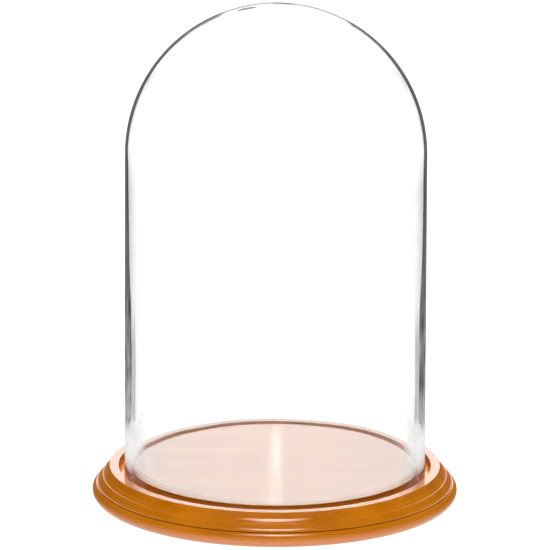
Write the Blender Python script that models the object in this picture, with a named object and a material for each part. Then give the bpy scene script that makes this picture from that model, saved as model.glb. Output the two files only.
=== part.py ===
"""Bell jar: a blown glass dome that stands in the ring groove of a round, lathe-turned wooden base.

Metres, +Z up. The origin is on the surface that the base stands on, on the axis that the dome and the
base share. Every piece is round, so dome and base are profiles spun about that axis; a profile is a list
of (radius, height) points that starts on the axis, runs out over the top and down the outer side, and
ends on the axis again.
"""

from math import cos, hypot, pi, radians, sin

import bmesh
import bpy

# Driving dimensions
CONTACT_GAP = 0.0003        # air left between two solids that rest on one another
SPIN_STEPS = 96             # facets around each spun piece
MERGE_DISTANCE = 0.00001    # points closer than this are one point, as on the axis of a spun piece
SHARP_ANGLE = radians(35)   # edges that bend more than this are drawn as edges

DOME_RADIUS = 0.1015        # outside of the straight wall, and of the hemisphere that crowns it
DOME_HEIGHT = 0.325         # lip to crown
FOOT_THICKNESS = 0.0046     # the wall is thickest where it stands, up to TAPER_START
TAPER_START = 0.07          # height above the lip
CROWN_THICKNESS = 0.0018

RIM_HEIGHT = 0.022          # underside to the flat rim outside the groove
DISC_RISE = 0.0005          # the disc inside the groove stands this much over the rim
GROOVE_INNER_RADIUS = 0.0957
GROOVE_OUTER_RADIUS = 0.1053
GROOVE_DEPTH = 0.006        # below the rim
EDGE_ROUND = 0.0004         # softened arrises of the groove and of the rim
RIM_RADIUS = 0.1117         # the flat ring outside the groove ends here

BEAD_RADIUS = 0.0052        # section of the round bead at the foot of the moulding
BEAD_CENTRE_RADIUS = 0.118
BEAD_START = radians(38)    # where the round of the bead starts, counted from horizontal

# Moulding between the rim and the bead, each (radius, drop below the rim, bulge of the run that ends there)
MOULDING = (
    (0.1133, 0.0038, 0.0001),      # upper shoulder
    (0.1153, 0.0061, 0.0),         # sloping flat under it
    (0.1164, 0.0066, 0.0),         # ledge
    (0.1180, 0.0095, 0.0001),      # lower shoulder
    (0.1193, 0.0110, 0.0),         # sloping flat under it
    (0.1202, 0.0113, 0.0),         # lip
    (0.1190, 0.0119, 0.0),         # quirk, the thin dark line above the bead
    (0.1207, 0.0120, 0.0),         # its floor, up to the sloping top of the bead
)

# Facets along the curves of the profiles
CROWN_STEPS = 12
LIP_STEPS = 6
BEAD_STEPS = 12
ROUND_STEPS = 2
RUN_STEPS = 4

PAD_RADIUS = 0.010
PAD_THICKNESS = 0.002
PAD_CIRCLE_RADIUS = 0.092
PAD_COUNT = 4
PAD_SIDES = 32

BASE_BOTTOM = PAD_THICKNESS + CONTACT_GAP
RIM_TOP = BASE_BOTTOM + RIM_HEIGHT
DISC_TOP = RIM_TOP + DISC_RISE
GROOVE_FLOOR = RIM_TOP - GROOVE_DEPTH
DOME_BOTTOM = GROOVE_FLOOR + CONTACT_GAP


def arc(centre, radius, start, end, steps):
    """Points from angle start to angle end about centre, both ends included."""
    turns = [start + (end - start) * i / steps for i in range(steps + 1)]
    return [(centre[0] + radius * cos(turn), centre[1] + radius * sin(turn)) for turn in turns]


def bulged_run(start, end, bulge, steps):
    """Points after start up to end, on a parabola whose middle stands bulge outside the straight line."""
    across = end[0] - start[0]
    along = end[1] - start[1]
    length = hypot(across, along)
    points = []
    for i in range(1, steps + 1):
        part = i / steps
        offset = 4 * bulge * part * (1 - part) / length
        points.append((start[0] + across * part - along * offset, start[1] + along * part + across * offset))
    return points


def spun(name, profile, origin_height, material):
    """Spin a profile about the Z axis into one closed body whose origin is on the axis."""
    mesh = bpy.data.meshes.new(name)
    shape = bmesh.new()
    points = [shape.verts.new((radius, 0.0, height - origin_height)) for radius, height in profile]
    runs = [shape.edges.new(ends) for ends in zip(points, points[1:])]
    bmesh.ops.spin(
        shape,
        geom=points + runs,
        cent=(0.0, 0.0, 0.0),
        axis=(0.0, 0.0, 1.0),
        angle=2 * pi,
        steps=SPIN_STEPS,
        use_merge=True,
    )
    bmesh.ops.remove_doubles(shape, verts=shape.verts, dist=MERGE_DISTANCE)
    bmesh.ops.recalc_face_normals(shape, faces=shape.faces)
    shape.to_mesh(mesh)
    shape.free()
    finish_mesh(mesh, material)
    piece = bpy.data.objects.new(name, mesh)
    piece.location = (0.0, 0.0, origin_height)
    bpy.context.scene.collection.objects.link(piece)
    return piece


def finish_mesh(mesh, material):
    """Smooth the round faces, keep the turned edges sharp, and give the mesh its material."""
    mesh.shade_smooth()
    mesh.set_sharp_from_angle(angle=SHARP_ANGLE)
    mesh.materials.append(material)


def principled(name, colour, roughness, transmission=0.0):
    """A material with one Principled shader."""
    material = bpy.data.materials.new(name)
    material.use_nodes = True
    shader = material.node_tree.nodes["Principled BSDF"]
    shader.inputs["Base Color"].default_value = (*colour, 1.0)
    shader.inputs["Roughness"].default_value = roughness
    shader.inputs["Metallic"].default_value = 0.0
    shader.inputs["Transmission Weight"].default_value = transmission
    return material


def dome_profile():
    """A straight wall under a hemisphere, thick at the foot, thin at the crown, with a lip melted round."""
    lip_radius = FOOT_THICKNESS / 2
    inner_radius = DOME_RADIUS - CROWN_THICKNESS
    crown_centre = (0.0, DOME_BOTTOM + DOME_HEIGHT - DOME_RADIUS)
    lip_centre = (DOME_RADIUS - lip_radius, DOME_BOTTOM + lip_radius)
    profile = arc(crown_centre, DOME_RADIUS, pi / 2, 0.0, CROWN_STEPS)
    profile += arc(lip_centre, lip_radius, 0.0, -pi, LIP_STEPS)
    profile += [(DOME_RADIUS - FOOT_THICKNESS, DOME_BOTTOM + TAPER_START)]
    profile += arc(crown_centre, inner_radius, 0.0, pi / 2, CROWN_STEPS)
    return profile


def base_profile():
    """Flat disc, ring groove, flat rim, moulding and bead, then the flat underside."""
    bead_centre = (BEAD_CENTRE_RADIUS, BASE_BOTTOM + BEAD_RADIUS)
    disc_round = (GROOVE_INNER_RADIUS - EDGE_ROUND, DISC_TOP - EDGE_ROUND)
    rim_round = (GROOVE_OUTER_RADIUS + EDGE_ROUND, RIM_TOP - EDGE_ROUND)
    profile = [(0.0, DISC_TOP)]
    profile += arc(disc_round, EDGE_ROUND, pi / 2, 0.0, ROUND_STEPS)
    profile += [(GROOVE_INNER_RADIUS, GROOVE_FLOOR), (GROOVE_OUTER_RADIUS, GROOVE_FLOOR)]
    profile += arc(rim_round, EDGE_ROUND, pi, pi / 2, ROUND_STEPS)
    profile += [(RIM_RADIUS, RIM_TOP)]
    for radius, drop, bulge in MOULDING:
        steps = RUN_STEPS if bulge else 1
        profile += bulged_run(profile[-1], (radius, RIM_TOP - drop), bulge, steps)
    profile += arc(bead_centre, BEAD_RADIUS, BEAD_START, -pi / 2, BEAD_STEPS)
    profile += [(0.0, BASE_BOTTOM)]
    return profile


def pad_mesh(material):
    """A round self-adhesive pad, its origin at the middle of its underside."""
    mesh = bpy.data.meshes.new("felt_pad")
    shape = bmesh.new()
    bmesh.ops.create_cone(
        shape,
        cap_ends=True,
        segments=PAD_SIDES,
        radius1=PAD_RADIUS,
        radius2=PAD_RADIUS,
        depth=PAD_THICKNESS,
    )
    bmesh.ops.translate(shape, verts=shape.verts, vec=(0.0, 0.0, PAD_THICKNESS / 2))
    shape.to_mesh(mesh)
    shape.free()
    finish_mesh(mesh, material)
    return mesh


def add_pads(mesh):
    """The pads stand in an even ring under the base, between the X and Y axes."""
    for i in range(PAD_COUNT):
        turn = 2 * pi * (i + 0.5) / PAD_COUNT
        pad = bpy.data.objects.new(f"felt_pad_{i + 1}", mesh)
        pad.location = (PAD_CIRCLE_RADIUS * cos(turn), PAD_CIRCLE_RADIUS * sin(turn), 0.0)
        bpy.context.scene.collection.objects.link(pad)


def main():
    for piece in list(bpy.data.objects):
        bpy.data.objects.remove(piece, do_unlink=True)
    glass = principled("clear_glass", (0.97, 0.98, 0.98), 0.02, transmission=1.0)
    wood = principled("varnished_wood", (0.52, 0.20, 0.03), 0.25)
    felt = principled("brown_felt", (0.06, 0.035, 0.022), 0.95)
    spun("glass_dome", dome_profile(), DOME_BOTTOM, glass)
    spun("turned_base", base_profile(), BASE_BOTTOM, wood)
    add_pads(pad_mesh(felt))


main()
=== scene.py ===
"""Bell jar: looks of the glass dome, the turned wooden base and the felt pads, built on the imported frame.

Metres, +Z up, in the frame of the CAD model: the origin is on the floor, on the axis of dome and base.
"""

from math import cos, hypot, pi, radians, sin

import bmesh
import bpy
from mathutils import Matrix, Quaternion, Vector, noise


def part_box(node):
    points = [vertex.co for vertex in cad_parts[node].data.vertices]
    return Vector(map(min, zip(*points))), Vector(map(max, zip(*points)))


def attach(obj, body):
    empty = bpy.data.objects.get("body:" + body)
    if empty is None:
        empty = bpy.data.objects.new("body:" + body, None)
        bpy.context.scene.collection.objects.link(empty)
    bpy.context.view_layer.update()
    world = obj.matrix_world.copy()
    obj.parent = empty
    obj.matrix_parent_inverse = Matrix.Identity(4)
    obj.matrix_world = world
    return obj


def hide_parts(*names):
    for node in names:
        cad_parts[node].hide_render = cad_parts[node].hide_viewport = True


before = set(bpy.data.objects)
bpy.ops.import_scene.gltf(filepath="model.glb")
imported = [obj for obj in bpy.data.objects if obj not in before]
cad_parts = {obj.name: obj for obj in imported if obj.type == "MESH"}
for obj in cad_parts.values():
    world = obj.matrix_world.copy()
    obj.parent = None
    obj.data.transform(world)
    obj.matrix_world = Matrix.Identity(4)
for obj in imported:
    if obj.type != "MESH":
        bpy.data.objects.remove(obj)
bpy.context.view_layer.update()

# Read from the frame
dome_low, dome_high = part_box("glass_dome")
base_low, base_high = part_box("turned_base")
DOME_RADIUS = dome_high.x
DOME_BOTTOM = dome_low.z
DOME_TOP = dome_high.z
CROWN_HEIGHT = DOME_TOP - DOME_RADIUS       # height of the centre of the hemisphere
BASE_BOTTOM = base_low.z
DISC_TOP = base_high.z
BASE_RADIUS = base_high.x

# Details that the frame's boxes don't give
FOOT_THICKNESS = 0.0046                     # of the glass, up to TAPER_START above the lip
TAPER_START = 0.07
CROWN_THICKNESS = 0.0018
GROOVE_INNER_RADIUS = 0.0957
GROOVE_OUTER_RADIUS = 0.1053
DISC_RISE = 0.0005                          # of the disc inside the groove over the rim outside it
RIM_TOP = DISC_TOP - DISC_RISE
GROOVE_DEPTH = 0.006                        # below the rim
RIM_RADIUS = 0.1117
EDGE_ROUND = 0.0004
RIM_EDGE_END = 0.56                         # angle where the round of the rim's outer edge ends
BEAD_RADIUS = 0.0052
BEAD_START = radians(38)
BEAD_BULGE = 0.00004                        # of the sloping top of the bead
MOULDING = (                                # (radius, drop below the rim, bulge of the run that ends there)
    (0.1133, 0.0038, 0.00008),
    (0.1153, 0.0061, -0.00003),
    (0.1164, 0.0066, -0.00003),
    (0.1180, 0.0095, 0.00012),
    (0.1193, 0.0110, -0.00003),
    (0.1202, 0.0113, 0.0),
    (0.1190, 0.0119, 0.0),
    (0.1207, 0.0120, 0.0),
)
PAD_COUNT = 4
PAD_SOFTNESS = 0.3                          # round of a pad's edges, as a part of its thickness

# Fine surface detail
SPIN_STEPS = 288
PAD_SPIN_STEPS = 96
CROWN_STEPS = 72                            # points along the profiles
WALL_STEPS = 60
LIP_STEPS = 16
TAPER_STEPS = 20
INNER_WALL_STEPS = 40
ROUND_STEPS = 8
RIM_EDGE_STEPS = 5
SHOULDER_STEPS = 12
SHORT_RUN_STEPS = 2
BEAD_STEPS = 40
BEAD_TOP_STEPS = 8
UNDERSIDE_STEPS = 12
PAD_FACE_STEPS = 6
PAD_EDGE_STEPS = 5
SHARP_ANGLE = radians(40)
FLAT_HOLD = 0.0001                          # from the end of a flat run to the point that keeps it flat
RIDGE_COUNT = 7                             # left by the parting tool across the floor of the groove
RIDGE_HEIGHT = 0.00008
RIDGE_STEPS = 6
BROAD_WAVE = 0.00018                        # of the inside of the glass
FINE_WAVE = 0.00006
WAVE_FADE = 0.01                            # height above the lip over which the waves fade in
FELT_FUZZ = 0.012                           # of a pad's radius

# Glass
GLASS_IOR = 1.5
# The dark edge, soft grey zones and crown patches of the glass are painted shade, and its pale foot is
# painted light
EDGE_SHADE_LEAN = 0.06                            # 1 m towards +X darkens the edge as this much more height does
WANDER = 0.06                               # how far the edges of the grey zones wander
# Where the two grey patches of painted shade at the crown sit, and how far they reach
BROAD_PATCH_PLACE = (0.0045, 0.0060, 0.3434)
BROAD_PATCH_REACH = (0.014, 0.028, 0.012)
SMALL_PATCH_PLACE = (-0.0202, 0.0034, 0.3415)
SMALL_PATCH_REACH = (0.0095, 0.0045, 0.0060)
# Painted pale light over the foot: its tint, and how much clearness it takes away
FOOT_LIGHT_TINT = 0.81
FOOT_LIGHT_LOSS = 0.65

# Wood
# Painted light: a lighter colour inside the groove, which stands in for light reaching the recess
GROOVE_LIGHT_COLOUR = (0.78, 0.26, 0.04, 1.0)        # inside the groove
# Painted light: a paler colour low on the bead, where light from the floor falls
BEAD_FOOT_LIGHT_COLOUR = (0.56, 0.20, 0.065, 1.0)      # low on the bead

# Studio
BACKDROP_LEVEL = 1.05                       # of the floor and of the sky that the camera sees
AMBIENT_LEVEL = 0.30
SKY_PATCHES = (                             # (direction, width, height, strength, part that is fading)
    ((0, 1, 0.28), 1.0, 1.5, 3.7, 0.4),         # paper behind
    ((0, -1, 0.65), 2.4, 1.2, 1.2, 0.8),        # front fill
    ((0, -0.45, 0.89), 0.75, 0.24, 75.0, 0.9),  # strip softbox
)
STRIP_LAMPS = (                             # (name, place, width, height, energy)
    ("strip_lamp_core", (0.0016, 0.58, 0.1924), 0.0060, 0.034, 0.0005),
    ("strip_lamp_tail", (0.0016, 0.60, 0.2080), 0.0125, 0.064, 0.0013),
)
FLOOR_HALF = 40.0
FLOOR_GREY = 0.12
AIM = Vector((-0.0004, 0.0, 0.1574))        # what the camera looks at
CAMERA_DISTANCE = 8.0
CAMERA_ELEVATION = radians(15.78)
CAMERA_ROLL = radians(0.25)
SENSOR_WIDTH = 36.0
LENS = 778.0


# ---------------------------------------------------------------- geometry


def arc(centre, radius, start, end, steps):
    """Points from angle start to angle end about centre, both ends included."""
    turns = [start + (end - start) * i / steps for i in range(steps + 1)]
    return [(centre[0] + radius * cos(turn), centre[1] + radius * sin(turn)) for turn in turns]


def straight_run(start, end, steps):
    """Points after start up to end, evenly spaced."""
    parts = [i / steps for i in range(1, steps + 1)]
    return [(start[0] + (end[0] - start[0]) * p, start[1] + (end[1] - start[1]) * p) for p in parts]


def held_run(start, end):
    """Points after start up to end, with one close to either end that keeps the shading flat."""
    across = end[0] - start[0]
    along = end[1] - start[1]
    hold = FLAT_HOLD / hypot(across, along)
    return [(start[0] + across * part, start[1] + along * part) for part in (hold, 1.0 - hold, 1.0)]


def bulged_run(start, end, bulge, steps):
    """Points after start up to end, on a parabola whose middle stands bulge outside the straight line."""
    across = end[0] - start[0]
    along = end[1] - start[1]
    length = hypot(across, along)
    points = []
    for i in range(1, steps + 1):
        part = i / steps
        offset = 4 * bulge * part * (1 - part) / length
        radius = start[0] + across * part - along * offset
        height = start[1] + along * part + across * offset
        points.append((radius, height))
    return points


def spun_mesh(name, profile, steps):
    """A closed mesh: a profile of (radius, height) points, both its ends on the axis, spun about Z."""
    shape = bmesh.new()
    top = shape.verts.new((0.0, 0.0, profile[0][1]))
    bottom = shape.verts.new((0.0, 0.0, profile[-1][1]))
    turns = [2 * pi * i / steps for i in range(steps)]
    rings = [[shape.verts.new((r * cos(t), r * sin(t), z)) for t in turns] for r, z in profile[1:-1]]
    for i in range(steps):
        j = (i + 1) % steps
        shape.faces.new((top, rings[0][i], rings[0][j]))
        shape.faces.new((bottom, rings[-1][j], rings[-1][i]))
        for upper, lower in zip(rings, rings[1:]):
            shape.faces.new((upper[i], lower[i], lower[j], upper[j]))
    mesh = bpy.data.meshes.new(name)
    shape.to_mesh(mesh)
    shape.free()
    return mesh


def add_piece(name, mesh, material, body, slot, *nodes):
    """Put a finished mesh in the scene in place of CAD nodes."""
    mesh.shade_smooth()
    mesh.set_sharp_from_angle(angle=SHARP_ANGLE)
    mesh.materials.append(material)
    piece = bpy.data.objects.new(name, mesh)
    bpy.context.scene.collection.objects.link(piece)
    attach(piece, body)
    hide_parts(*nodes)
    return piece


def dome_profile():
    """Crown and wall from the top down the outside, round the lip, and up the thinner inside."""
    lip = FOOT_THICKNESS / 2
    inner_radius = DOME_RADIUS - CROWN_THICKNESS
    crown_centre = (0.0, CROWN_HEIGHT)
    outside = arc(crown_centre, DOME_RADIUS, pi / 2, 0.0, CROWN_STEPS)
    outside += straight_run(outside[-1], (DOME_RADIUS, DOME_BOTTOM + lip), WALL_STEPS)
    rim = arc((DOME_RADIUS - lip, DOME_BOTTOM + lip), lip, 0.0, -pi, LIP_STEPS)
    taper_start = (DOME_RADIUS - FOOT_THICKNESS, DOME_BOTTOM + TAPER_START)
    inside = straight_run(rim[-1], taper_start, TAPER_STEPS)
    inside += straight_run(inside[-1], (inner_radius, CROWN_HEIGHT), INNER_WALL_STEPS)
    inside += arc(crown_centre, inner_radius, 0.0, pi / 2, CROWN_STEPS)[1:]
    return outside + rim[1:] + inside


def dome_mesh():
    """Blown glass: true outside, marked as outer_skin, and an inside that waves a little."""
    mesh = spun_mesh("glass_dome_blown", dome_profile(), SPIN_STEPS)
    skin = mesh.attributes.new("outer_skin", "FLOAT", "POINT")
    for vertex in mesh.vertices:
        point = vertex.co
        level = Vector((0.0, 0.0, min(point.z, CROWN_HEIGHT)))
        outward = point - level
        if outward.length > DOME_RADIUS - CROWN_THICKNESS / 2:
            skin.data[vertex.index].value = 1.0
            continue
        outward.normalize()
        wave = noise.noise(point * 14.0) * BROAD_WAVE + noise.noise(point * 37.0) * FINE_WAVE
        above_lip = (point.z - DOME_BOTTOM - FOOT_THICKNESS / 2) / WAVE_FADE
        vertex.co = point + outward * wave * min(max(above_lip, 0.0), 1.0)
    return mesh


def groove_floor_points(floor):
    """The fine ridges across the floor of the groove, from its inner to its outer wall."""
    points = []
    steps = RIDGE_COUNT * RIDGE_STEPS
    for i in range(1, steps):
        part = i / steps
        radius = GROOVE_INNER_RADIUS + (GROOVE_OUTER_RADIUS - GROOVE_INNER_RADIUS) * part
        ridge = RIDGE_HEIGHT / 2 * (1 - cos(2 * pi * RIDGE_COUNT * part))
        points.append((radius, floor + ridge))
    return points + [(GROOVE_OUTER_RADIUS, floor)]


def base_profile():
    """Disc, groove, rim, moulding and bead, then the flat underside."""
    groove_floor = RIM_TOP - GROOVE_DEPTH
    disc_round = (GROOVE_INNER_RADIUS - EDGE_ROUND, DISC_TOP - EDGE_ROUND)
    rim_round = (GROOVE_OUTER_RADIUS + EDGE_ROUND, RIM_TOP - EDGE_ROUND)
    edge_round = (RIM_RADIUS - EDGE_ROUND / 2, RIM_TOP - EDGE_ROUND / 2)
    bead_centre = (BASE_RADIUS - BEAD_RADIUS, BASE_BOTTOM + BEAD_RADIUS)
    profile = [(0.0, DISC_TOP)]
    profile += held_run(profile[-1], (disc_round[0], DISC_TOP))
    profile += arc(disc_round, EDGE_ROUND, pi / 2, 0.0, ROUND_STEPS)[1:]
    profile += held_run(profile[-1], (GROOVE_INNER_RADIUS, groove_floor))
    profile += groove_floor_points(groove_floor)
    profile += held_run(profile[-1], (GROOVE_OUTER_RADIUS, rim_round[1]))
    profile += arc(rim_round, EDGE_ROUND, pi, pi / 2, ROUND_STEPS)[1:]
    profile += held_run(profile[-1], (edge_round[0], RIM_TOP))[:-1]
    profile += arc(edge_round, EDGE_ROUND / 2, pi / 2, RIM_EDGE_END, RIM_EDGE_STEPS)
    for radius, drop, bulge in MOULDING:
        steps = SHOULDER_STEPS if bulge else SHORT_RUN_STEPS
        profile += bulged_run(profile[-1], (radius, RIM_TOP - drop), bulge, steps)
    bead = arc(bead_centre, BEAD_RADIUS, BEAD_START, -pi / 2, BEAD_STEPS)
    profile += bulged_run(profile[-1], bead[0], BEAD_BULGE, BEAD_TOP_STEPS)[:-1] + bead
    profile += straight_run(profile[-1], (0.0, BASE_BOTTOM), UNDERSIDE_STEPS)
    return profile


def base_mesh():
    """The turned base, with the inside of the groove marked by an attribute where lighter colour is painted
    as light.
    """
    mesh = spun_mesh("turned_base_wood", base_profile(), SPIN_STEPS)
    groove_light_mask = mesh.attributes.new("groove_light", "FLOAT", "POINT")
    margin = 0.0001
    for vertex in mesh.vertices:
        out = vertex.co.xy.length
        in_groove = GROOVE_INNER_RADIUS - margin < out < GROOVE_OUTER_RADIUS + margin
        over_underside = vertex.co.z > BASE_BOTTOM + EDGE_ROUND
        under_rim = vertex.co.z < RIM_TOP - EDGE_ROUND
        groove_light_mask.data[vertex.index].value = float(in_groove and over_underside and under_rim)
    return mesh


def pad_mesh(name, low, high):
    """A felt disc with soft edges and a fuzzy side."""
    radius = (high.x - low.x) / 2
    middle = (low + high) / 2
    soft = (high.z - low.z) * PAD_SOFTNESS
    profile = [(0.0, high.z)]
    profile += straight_run((0.0, high.z), (radius - soft, high.z), PAD_FACE_STEPS)[:-1]
    profile += arc((radius - soft, high.z - soft), soft, pi / 2, 0.0, PAD_EDGE_STEPS)
    profile += arc((radius - soft, low.z + soft), soft, 0.0, -pi / 2, PAD_EDGE_STEPS)
    profile += straight_run(profile[-1], (0.0, low.z), PAD_FACE_STEPS)
    mesh = spun_mesh(name, profile, PAD_SPIN_STEPS)
    for vertex in mesh.vertices:
        out = vertex.co.xy.length / radius
        fuzz = 1.0 - FELT_FUZZ * out * (1.0 + noise.noise(vertex.co * 900.0))
        vertex.co.x = vertex.co.x * fuzz + middle.x
        vertex.co.y = vertex.co.y * fuzz + middle.y
    return mesh


# ---------------------------------------------------------------- nodes


def add_node(tree, kind, inputs=None, **settings):
    """A node with its settings and input values; an input value that is a socket is linked."""
    node = tree.nodes.new(kind)
    for name, value in settings.items():
        setattr(node, name, value)
    for name, value in (inputs or {}).items():
        if isinstance(value, bpy.types.NodeSocket):
            tree.links.new(value, node.inputs[name])
        else:
            node.inputs[name].default_value = value
    return node


def ramp_node(tree, factor, stops, interpolation="EASE"):
    """A colour ramp from (position, grey or colour) stops."""
    node = add_node(tree, "ShaderNodeValToRGB", {"Fac": factor})
    node.color_ramp.interpolation = interpolation
    while len(node.color_ramp.elements) < len(stops):
        node.color_ramp.elements.new(0.5)
    for element, (position, colour) in zip(node.color_ramp.elements, stops):
        element.position = position
        shade = (colour, colour, colour) if isinstance(colour, float) else colour
        element.color = (*shade, 1.0)
    return node.outputs["Color"]


def math_node(tree, operation, first, second=0.0, third=0.0):
    """The result of a calculation with numbers or sockets."""
    return add_node(tree, "ShaderNodeMath", {0: first, 1: second, 2: third}, operation=operation).outputs[0]


def largest(tree, first, *others):
    """The largest of some numbers."""
    for other in others:
        first = math_node(tree, "MAXIMUM", first, other)
    return first


def noise_node(tree, place, scale, detail):
    """Smooth noise around 0.5."""
    inputs = {"Vector": place, "Scale": scale, "Detail": detail}
    return add_node(tree, "ShaderNodeTexNoise", inputs).outputs["Fac"]


def stretched(tree, place, scale):
    """Coordinates scaled along X, Y and Z."""
    return add_node(tree, "ShaderNodeMapping", {"Vector": place, "Scale": scale}).outputs[0]


def mixed(tree, factor, first, second, blend="MIX"):
    """A mix of two colours."""
    return add_node(tree, "ShaderNodeMix", {"Factor": factor, "A": first, "B": second},
                    data_type="RGBA", blend_type=blend).outputs["Result"]


def map_range(tree, value, low, high, top=1.0):
    """0 at low, changing evenly to top at high, and level beyond either; low may be the larger one."""
    return add_node(tree, "ShaderNodeMapRange", {
        "Value": value, "From Min": low, "From Max": high, "To Min": 0.0, "To Max": top,
    }).outputs[0]


def glow_at(tree, place, centre, reach):
    """1 at centre, fading to 0 at the distances reach along X, Y and Z."""
    spot = add_node(tree, "ShaderNodeMapping", {"Vector": place, "Location": centre, "Scale": reach},
                    vector_type="TEXTURE")
    return add_node(tree, "ShaderNodeTexGradient", {"Vector": spot.outputs[0]},
                    gradient_type="SPHERICAL").outputs["Fac"]


def height_ramp(tree, height, stops):
    """A number that changes with height above the floor, from (height, value) stops."""
    part = math_node(tree, "DIVIDE", height, DOME_TOP)
    return ramp_node(tree, part, [(level / DOME_TOP, value) for level, value in stops], "LINEAR")


def new_material(name):
    """An empty material with its node tree and one Principled shader."""
    material = bpy.data.materials.new(name)
    material.use_nodes = True
    tree = material.node_tree
    tree.nodes.clear()
    output = add_node(tree, "ShaderNodeOutputMaterial")
    shader = add_node(tree, "ShaderNodeBsdfPrincipled")
    tree.links.new(shader.outputs[0], output.inputs["Surface"])
    return material, tree, shader


# ---------------------------------------------------------------- glass


def painted_edge_shade(tree, height, lean, wander, ripples):
    """Painted shade of the wall seen edge on: where it starts, and how dark it gets, at each height."""
    start = height_ramp(tree, height, (
        (0.046, 1.0), (0.054, 0.82), (0.064, 0.72), (0.100, 0.71), (0.140, 0.715), (0.175, 0.755),
        (0.210, 0.780), (0.250, 0.790), (0.300, 0.785),
    ))
    depth = height_ramp(tree, lean, (
        (0.050, 0.62), (0.070, 0.66), (0.110, 0.75), (0.150, 0.80), (0.210, 0.85), (0.300, 0.85),
        (0.333, 0.82), (0.337, 0.30),
    ))
    mottle = height_ramp(tree, height, ((0.060, 0.7), (0.120, 0.6), (0.170, 0.1)))
    uneven = math_node(tree, "MULTIPLY", math_node(tree, "SUBTRACT", ripples, 0.5), mottle)
    band = map_range(tree, math_node(tree, "SUBTRACT", wander, start), -0.008, 0.010)
    return math_node(tree, "MULTIPLY", band, math_node(tree, "ADD", depth, uneven))


def painted_soft_grey(tree, height, wander):
    """The painted soft grey shade inside the painted dark edge, wider and deeper where the glass is thick.
    """
    soft = height_ramp(tree, height, ((0.225, 0.44), (0.262, 0.10), (0.300, 0.04)))
    upper_grey = math_node(tree, "MULTIPLY", map_range(tree, wander, 0.48, 0.82), soft)
    crown_soft = height_ramp(tree, height, ((0.235, 0.0), (0.265, 0.60)))
    rounding = math_node(tree, "MULTIPLY", map_range(tree, wander, 0.70, 0.82), crown_soft)
    thick = height_ramp(tree, height, ((0.055, 0.0), (0.068, 0.46), (0.120, 0.46), (0.178, 0.0)))
    inner = math_node(tree, "MULTIPLY", map_range(tree, wander, 0.622, 0.648), thick)
    return largest(tree, upper_grey, rounding, inner)


def painted_crown_shade(tree, place, facing):
    """Two grey patches of painted shade at the crown, which show edge on."""
    broad_patch = glow_at(tree, place, BROAD_PATCH_PLACE, BROAD_PATCH_REACH)
    small_patch = glow_at(tree, place, SMALL_PATCH_PLACE, SMALL_PATCH_REACH)
    broad_edge_on = map_range(tree, facing, 0.66, 0.86, 0.76)
    small_edge_on = map_range(tree, facing, 0.64, 0.72)
    broad_loss = math_node(tree, "MULTIPLY", map_range(tree, broad_patch, 0.0, 0.5), broad_edge_on)
    small_loss = math_node(tree, "MULTIPLY", map_range(tree, small_patch, 0.0, 0.3, 0.80), small_edge_on)
    return largest(tree, broad_loss, small_loss)


def painted_foot_light(tree, height, wander):
    """The pale, wider grey of painted light over the foot."""
    share = height_ramp(tree, height, ((0.0262, 0.0), (0.0275, 1.0), (0.050, 1.0), (0.062, 0.0)))
    start = height_ramp(tree, height, ((0.027, 0.70), (0.033, 0.64), (0.042, 0.56), (0.052, 0.52)))
    painted_veil = map_range(tree, math_node(tree, "SUBTRACT", wander, start), -0.03, 0.06)
    return math_node(tree, "MULTIPLY", painted_veil, share)


def glass_material():
    """Clear blown soda-lime glass, with painted shade: seen edge on, the wall is painted dark for as far in
    as the glass is thick.
    """
    material, tree, shader = new_material("clear_glass_blown")
    place = add_node(tree, "ShaderNodeTexCoord").outputs["Object"]
    split = add_node(tree, "ShaderNodeSeparateXYZ", {0: place})
    height = split.outputs["Z"]
    lean = math_node(tree, "MULTIPLY_ADD", split.outputs["X"], EDGE_SHADE_LEAN, height)
    facing = add_node(tree, "ShaderNodeLayerWeight", {"Blend": 0.5}).outputs["Facing"]
    skin = add_node(tree, "ShaderNodeAttribute", attribute_name="outer_skin").outputs["Fac"]
    drawn = stretched(tree, place, (30.0, 30.0, 14.0))
    waves = noise_node(tree, drawn, 1.0, 2.0)
    ripples = noise_node(tree, drawn, 3.5, 1.0)
    wander = math_node(tree, "MULTIPLY_ADD", math_node(tree, "SUBTRACT", waves, 0.5), WANDER, facing)

    # Painted shade: dark edge, soft grey zones and crown patches; painted light: the pale foot
    dark = painted_edge_shade(tree, height, lean, wander, ripples)
    painted_losses = largest(tree, dark, painted_soft_grey(tree, height, wander), painted_crown_shade(tree, place, facing))
    painted_veil = math_node(tree, "MULTIPLY", painted_foot_light(tree, height, wander), skin)

    # Only the outer skin paints the shade, so that each wall counts once; the painted light over the foot
    # also adds its own pale tint
    clear = math_node(tree, "SUBTRACT", 1.0, math_node(tree, "MULTIPLY", painted_losses, skin))
    bare = math_node(tree, "MULTIPLY_ADD", painted_veil, -1.0, 1.0)
    tint = math_node(tree, "MULTIPLY", math_node(tree, "MULTIPLY", clear, clear), bare)
    tint = math_node(tree, "MULTIPLY_ADD", painted_veil, FOOT_LIGHT_TINT, tint)
    clear = math_node(tree, "MULTIPLY", clear, math_node(tree, "MULTIPLY_ADD", painted_veil, -FOOT_LIGHT_LOSS, 1.0))
    tree.links.new(clear, shader.inputs["Transmission Weight"])
    tree.links.new(tint, shader.inputs["Base Color"])
    shader.inputs["Roughness"].default_value = 0.0
    shader.inputs["IOR"].default_value = GLASS_IOR
    shader.inputs["Specular IOR Level"].default_value = 0.0
    return material


# ---------------------------------------------------------------- wood and felt


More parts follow.
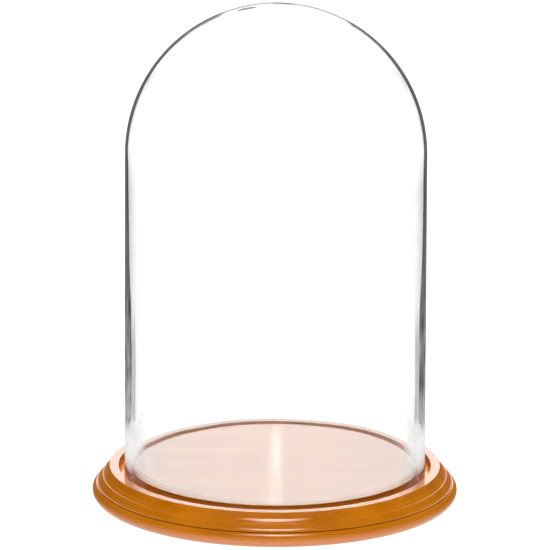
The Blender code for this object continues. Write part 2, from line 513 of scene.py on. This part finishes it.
def wood_colour(tree, place, height, fine):
    """Honey stain with grain along X and dark pores, with painted light: lighter in the groove and paler
    low on the bead.
    """
    figure = noise_node(tree, stretched(tree, place, (1.6, 22.0, 22.0)), 2.2, 4.0)
    flecks = noise_node(tree, stretched(tree, place, (90.0, 1600.0, 1600.0)), 1.0, 1.0)
    tone = math_node(tree, "MULTIPLY_ADD", fine, 0.35, figure)
    colour = ramp_node(tree, tone, (
        (0.40, (0.26, 0.068, 0.001)),
        (0.62, (0.30, 0.088, 0.001)),
        (0.85, (0.35, 0.110, 0.002)),
    ), "LINEAR")
    # Painted light: lighter colour inside the groove
    groove_light_mask = add_node(tree, "ShaderNodeAttribute", attribute_name="groove_light").outputs["Fac"]
    colour = mixed(tree, groove_light_mask, colour, GROOVE_LIGHT_COLOUR)
    # Painted light: paler colour low on the bead, from the floor
    bead_foot_light = map_range(tree, height, 0.0100, 0.0060)
    colour = mixed(tree, bead_foot_light, colour, BEAD_FOOT_LIGHT_COLOUR)
    pore = ramp_node(tree, flecks, ((0.66, 1.0), (0.74, 0.62)), "LINEAR")
    return mixed(tree, 1.0, colour, pore, "MULTIPLY")


def varnish_gloss(tree, height):
    """Thin varnish on the sides, more on what faces up, and most low on the bead."""
    facing = add_node(tree, "ShaderNodeLayerWeight", {"Blend": 0.5}).outputs["Facing"]
    sides = ramp_node(tree, facing, (
        (0.5, 0.15), (0.66, 0.10), (0.79, 0.06), (0.94, 0.06), (1.0, 0.5),
    ), "LINEAR")
    normal = add_node(tree, "ShaderNodeTexCoord").outputs["Normal"]
    upward = add_node(tree, "ShaderNodeSeparateXYZ", {0: normal}).outputs["Z"]
    slopes = map_range(tree, upward, 0.86, 0.93, 0.38)
    flats = map_range(tree, upward, 0.965, 0.99, 0.69)
    low_bead = map_range(tree, height, 0.0085, 0.0055)
    return largest(tree, sides, slopes, flats, low_bead)


def wood_material():
    """Close-grained hardwood, stained honey, under several coats of gloss varnish."""
    material, tree, shader = new_material("varnished_honey_wood")
    place = add_node(tree, "ShaderNodeTexCoord").outputs["Object"]
    height = add_node(tree, "ShaderNodeSeparateXYZ", {0: place}).outputs["Z"]
    fine = noise_node(tree, stretched(tree, place, (22.0, 900.0, 900.0)), 1.0, 3.0)
    tree.links.new(wood_colour(tree, place, height, fine), shader.inputs["Base Color"])
    tree.links.new(varnish_gloss(tree, height), shader.inputs["Coat Weight"])
    bump = add_node(tree, "ShaderNodeBump", {"Height": fine, "Strength": 0.05, "Distance": 0.0002})
    tree.links.new(bump.outputs[0], shader.inputs["Normal"])
    shader.inputs["Roughness"].default_value = 0.4
    shader.inputs["Specular IOR Level"].default_value = 0.0
    shader.inputs["Coat Roughness"].default_value = 0.03
    shader.inputs["Coat IOR"].default_value = 1.55
    return material


def felt_material():
    """Pressed brown wool felt."""
    material, tree, shader = new_material("brown_felt_wool")
    place = add_node(tree, "ShaderNodeTexCoord").outputs["Object"]
    wool = noise_node(tree, place, 1400.0, 4.0)
    colour = ramp_node(tree, wool, ((0.3, (0.028, 0.016, 0.010)), (0.7, (0.085, 0.050, 0.032))))
    tree.links.new(colour, shader.inputs["Base Color"])
    bump = add_node(tree, "ShaderNodeBump", {"Height": wool, "Strength": 0.8, "Distance": 0.0003})
    tree.links.new(bump.outputs[0], shader.inputs["Normal"])
    shader.inputs["Roughness"].default_value = 0.95
    shader.inputs["Sheen Weight"].default_value = 0.4
    return material


# ---------------------------------------------------------------- stage


def soft_patch(tree, direction, width, height, strength, edge):
    """An elliptical patch of light on the sky, width by height; edge is how much of it is fading."""
    place = add_node(tree, "ShaderNodeTexCoord").outputs["Generated"]
    centre = Vector(direction).normalized()
    spot = add_node(tree, "ShaderNodeMapping", {
        "Vector": place,
        "Location": centre,
        "Rotation": centre.to_track_quat("Z", "Y").to_euler(),
        "Scale": (width / 2, height / 2, max(width, height) / 2),
    }, vector_type="TEXTURE")
    glow = add_node(tree, "ShaderNodeTexGradient", {"Vector": spot.outputs[0]}, gradient_type="SPHERICAL")
    return add_node(tree, "ShaderNodeMapRange", {
        "Value": glow.outputs["Fac"], "From Min": 0.0, "From Max": edge, "To Min": 0.0, "To Max": strength,
    }, interpolation_type="SMOOTHSTEP").outputs[0]


def light_room():
    """A dim room lit by sky patches; the camera, and rays out of the glass, see white all round."""
    world = bpy.data.worlds.new("studio")
    world.use_nodes = True
    tree = world.node_tree
    tree.nodes.clear()
    total = AMBIENT_LEVEL
    for patch in SKY_PATCHES:
        total = math_node(tree, "ADD", total, soft_patch(tree, *patch))
    path = add_node(tree, "ShaderNodeLightPath")
    seen = largest(tree, path.outputs["Is Camera Ray"], path.outputs["Is Transmission Ray"])
    total = largest(tree, total, math_node(tree, "MULTIPLY", seen, BACKDROP_LEVEL))
    background = add_node(tree, "ShaderNodeBackground", {"Color": (1.0, 1.0, 1.0, 1.0), "Strength": total})
    output = add_node(tree, "ShaderNodeOutputWorld")
    tree.links.new(background.outputs[0], output.inputs["Surface"])
    bpy.context.scene.world = world


def add_strip_lamp(name, place, width, height, energy):
    """A thin lamp behind the dome, seen only as the streak that it draws along the varnished disc."""
    lamp = bpy.data.lights.new(name, "AREA")
    lamp.shape = "ELLIPSE"
    lamp.size = width
    lamp.size_y = height
    lamp.energy = energy
    strip = bpy.data.objects.new(name, lamp)
    bpy.context.scene.collection.objects.link(strip)
    strip.location = place
    strip.rotation_euler = (radians(-90), 0.0, 0.0)
    strip.visible_camera = False
    strip.visible_glossy = False


def lay_floor():
    """A plain white floor that reaches past every view."""
    mesh = bpy.data.meshes.new("floor")
    half = FLOOR_HALF
    corners = [(-half, -half, 0.0), (half, -half, 0.0), (half, half, 0.0), (-half, half, 0.0)]
    mesh.from_pydata(corners, [], [(0, 1, 2, 3)])
    material, tree, shader = new_material("white_floor")
    shader.inputs["Base Color"].default_value = (FLOOR_GREY, FLOOR_GREY, FLOOR_GREY, 1.0)
    shader.inputs["Roughness"].default_value = 1.0
    shader.inputs["Specular IOR Level"].default_value = 0.0
    shader.inputs["Emission Color"].default_value = (1.0, 1.0, 1.0, 1.0)
    shader.inputs["Emission Strength"].default_value = BACKDROP_LEVEL
    mesh.materials.append(material)
    floor = bpy.data.objects.new("floor", mesh)
    bpy.context.scene.collection.objects.link(floor)


def add_camera():
    """A long lens far off, looking a little down on the object, and held slightly out of level."""
    camera = bpy.data.objects.new("camera", bpy.data.cameras.new("camera"))
    bpy.context.scene.collection.objects.link(camera)
    back = Vector((0.0, -cos(CAMERA_ELEVATION), sin(CAMERA_ELEVATION)))
    level_turn = (-back).to_track_quat("-Z", "Y")
    camera.location = AIM + back * CAMERA_DISTANCE
    camera.rotation_mode = "QUATERNION"
    camera.rotation_quaternion = level_turn @ Quaternion((0.0, 0.0, 1.0), CAMERA_ROLL)
    camera.data.sensor_width = SENSOR_WIDTH
    camera.data.lens = LENS
    camera.data.clip_start = 0.1
    camera.data.clip_end = 200.0
    bpy.context.scene.camera = camera


# ---------------------------------------------------------------- assembly

add_camera()
light_room()
for strip_lamp in STRIP_LAMPS:
    add_strip_lamp(*strip_lamp)
lay_floor()
bpy.context.scene.view_settings.view_transform = "Standard"

add_piece("glass_dome_blown", dome_mesh(), glass_material(), "dome", "clear_glass", "glass_dome")
add_piece("turned_base_wood", base_mesh(), wood_material(), "base", "varnished_wood", "turned_base")
felt = felt_material()
for number in range(1, PAD_COUNT + 1):
    node_name = f"felt_pad_{number}"
    pad = pad_mesh(f"{node_name}_wool", *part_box(node_name))
    add_piece(f"{node_name}_wool", pad, felt, "base", "brown_felt", node_name)
